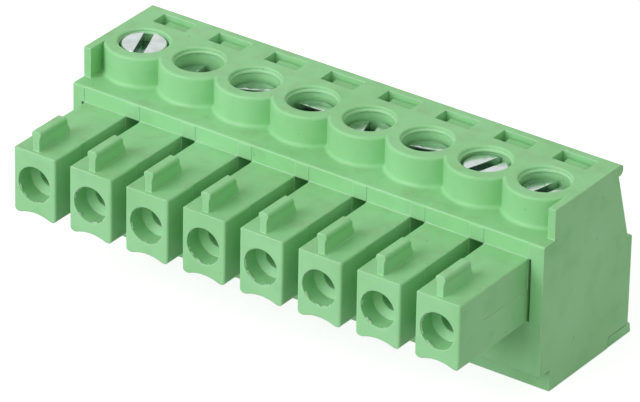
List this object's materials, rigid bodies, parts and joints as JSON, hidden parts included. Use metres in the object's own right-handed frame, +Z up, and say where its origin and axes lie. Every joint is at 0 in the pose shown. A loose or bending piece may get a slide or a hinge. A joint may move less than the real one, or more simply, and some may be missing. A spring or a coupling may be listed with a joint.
{
  "type": "pluggable terminal block",
  "caption": "Pluggable screw terminal block: a row of female noses in front, slotted screws that raise wire clamps, and a snap-in wire entry frame behind.",
  "frame": {"origin": "under the middle of the block, on the plane that its underside rests on", "axes": "+X along the row from the first pole to the last, -Y the way the noses point, +Y the side where the wires enter, +Z up along the screws"},
  "size_m": [0.0312, 0.0156, 0.0111],
  "materials": {
    "green_housing": "satin moulded polyamide, pale green",
    "green_frame": "satin moulded polyamide, pale green",
    "plated_screw": "bright zinc-plated steel",
    "plated_cage": "plated steel, satin",
    "tinned_contact": "tin-plated copper alloy, satin"
  },
  "bodies": {
    "block": {"housing": "green_housing", "wire_entry_frame": "green_frame", "contact_1": "tinned_contact", "contact_2": "tinned_contact", "contact_3": "tinned_contact", "contact_4": "tinned_contact", "contact_5": "tinned_contact", "contact_6": "tinned_contact", "contact_7": "tinned_contact", "contact_8": "tinned_contact"},
    "screw_1": {"clamp_screw_1": "plated_screw"},
    "cage_1": {"clamp_cage_1": "plated_cage"},
    "screw_2": {"clamp_screw_2": "plated_screw"},
    "cage_2": {"clamp_cage_2": "plated_cage"},
    "screw_3": {"clamp_screw_3": "plated_screw"},
    "cage_3": {"clamp_cage_3": "plated_cage"},
    "screw_4": {"clamp_screw_4": "plated_screw"},
    "cage_4": {"clamp_cage_4": "plated_cage"},
    "screw_5": {"clamp_screw_5": "plated_screw"},
    "cage_5": {"clamp_cage_5": "plated_cage"},
    "screw_6": {"clamp_screw_6": "plated_screw"},
    "cage_6": {"clamp_cage_6": "plated_cage"},
    "screw_7": {"clamp_screw_7": "plated_screw"},
    "cage_7": {"clamp_cage_7": "plated_cage"},
    "screw_8": {"clamp_screw_8": "plated_screw"},
    "cage_8": {"clamp_cage_8": "plated_cage"}
  },
  "joints": [
    {"name": "screw_turn_1", "type": "hinge", "parent": "block", "child": "screw_1", "pos_m": [-0.01345, 0.00227, 0.0092], "axis": [0, 0, -1], "range_deg": [0, 1170]},
    {"name": "cage_lift_1", "type": "slide", "parent": "block", "child": "cage_1", "axis": [0, 0, 1], "range_m": [0, 0.0013]},
    {"name": "screw_turn_2", "type": "hinge", "parent": "block", "child": "screw_2", "pos_m": [-0.00963, 0.00227, 0.0092], "axis": [0, 0, -1], "range_deg": [0, 1170]},
    {"name": "cage_lift_2", "type": "slide", "parent": "block", "child": "cage_2", "axis": [0, 0, 1], "range_m": [0, 0.0013]},
    {"name": "screw_turn_3", "type": "hinge", "parent": "block", "child": "screw_3", "pos_m": [-0.00583, 0.00227, 0.0092], "axis": [0, 0, -1], "range_deg": [0, 1170]},
    {"name": "cage_lift_3", "type": "slide", "parent": "block", "child": "cage_3", "axis": [0, 0, 1], "range_m": [0, 0.0013]},
    {"name": "screw_turn_4", "type": "hinge", "parent": "block", "child": "screw_4", "pos_m": [-0.00201, 0.00227, 0.0092], "axis": [0, 0, -1], "range_deg": [0, 1170]},
    {"name": "cage_lift_4", "type": "slide", "parent": "block", "child": "cage_4", "axis": [0, 0, 1], "range_m": [0, 0.0013]},
    {"name": "screw_turn_5", "type": "hinge", "parent": "block", "child": "screw_5", "pos_m": [0.00179, 0.00227, 0.0092], "axis": [0, 0, -1], "range_deg": [0, 1170]},
    {"name": "cage_lift_5", "type": "slide", "parent": "block", "child": "cage_5", "axis": [0, 0, 1], "range_m": [0, 0.0013]},
    {"name": "screw_turn_6", "type": "hinge", "parent": "block", "child": "screw_6", "pos_m": [0.0056, 0.00227, 0.0092], "axis": [0, 0, -1], "range_deg": [0, 1170]},
    {"name": "cage_lift_6", "type": "slide", "parent": "block", "child": "cage_6", "axis": [0, 0, 1], "range_m": [0, 0.0013]},
    {"name": "screw_turn_7", "type": "hinge", "parent": "block", "child": "screw_7", "pos_m": [0.00941, 0.00227, 0.0092], "axis": [0, 0, -1], "range_deg": [0, 1170]},
    {"name": "cage_lift_7", "type": "slide", "parent": "block", "child": "cage_7", "axis": [0, 0, 1], "range_m": [0, 0.0013]},
    {"name": "screw_turn_8", "type": "hinge", "parent": "block", "child": "screw_8", "pos_m": [0.01323, 0.00227, 0.0092], "axis": [0, 0, -1], "range_deg": [0, 1170]},
    {"name": "cage_lift_8", "type": "slide", "parent": "block", "child": "cage_8", "axis": [0, 0, 1], "range_m": [0, 0.0013]}
  ],
  "couplings": [
    {"joint": "screw_turn_1", "follows": "cage_lift_1", "rad_per_m": 15708},
    {"joint": "screw_turn_2", "follows": "cage_lift_2", "rad_per_m": 15708},
    {"joint": "screw_turn_3", "follows": "cage_lift_3", "rad_per_m": 15708},
    {"joint": "screw_turn_4", "follows": "cage_lift_4", "rad_per_m": 15708},
    {"joint": "screw_turn_5", "follows": "cage_lift_5", "rad_per_m": 15708},
    {"joint": "screw_turn_6", "follows": "cage_lift_6", "rad_per_m": 15708},
    {"joint": "screw_turn_7", "follows": "cage_lift_7", "rad_per_m": 15708},
    {"joint": "screw_turn_8", "follows": "cage_lift_8", "rad_per_m": 15708}
  ]
}
